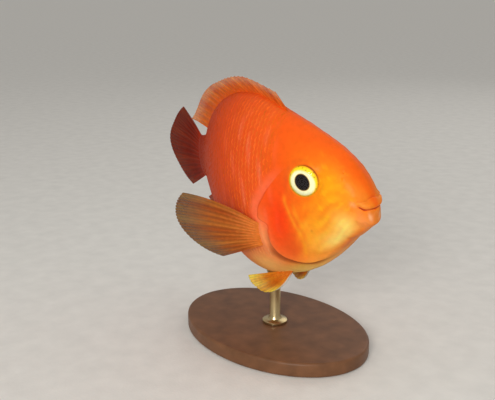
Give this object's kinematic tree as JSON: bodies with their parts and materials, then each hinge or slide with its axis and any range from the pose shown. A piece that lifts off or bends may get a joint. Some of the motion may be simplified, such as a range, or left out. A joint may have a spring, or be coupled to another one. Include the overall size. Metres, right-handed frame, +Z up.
{
  "type": "blood parrot cichlid model",
  "caption": "Life-size model of an orange blood parrot cichlid, deep bodied with a small beak-like mouth, turning with spread fins on an oval display stand.",
  "frame": {"origin": "centre of the stand base's underside, on the surface that it stands on", "axes": "+X is the way the fish's head faces, +Y is to the fish's left, +Z is up"},
  "size_m": [0.192, 0.0905, 0.1461],
  "materials": {
    "skin": "satin red-orange scaled skin, yellower on the cheek",
    "fin": "thin translucent orange fin membrane over darker rays",
    "eye": "clear gloss over a pale yellow iris and a dark pupil",
    "stand_wood": "dark stained walnut, satin varnish",
    "stand_metal": "brushed, slightly dulled"
  },
  "bodies": {
    "root": {"head": "skin", "trunk": "skin", "tail_stem": "skin", "gill_cover_left": "skin", "gill_cover_right": "skin", "eye_left": "eye", "eye_right": "eye", "dorsal_fin": "fin", "anal_fin": "fin", "tail_fin": "fin", "pectoral_fin_left": "fin", "pectoral_fin_right": "fin", "pelvic_fin_left": "fin", "pelvic_fin_right": "fin", "stand_base": "stand_wood", "stand_rod": "stand_metal"}
  },
  "joints": []
}
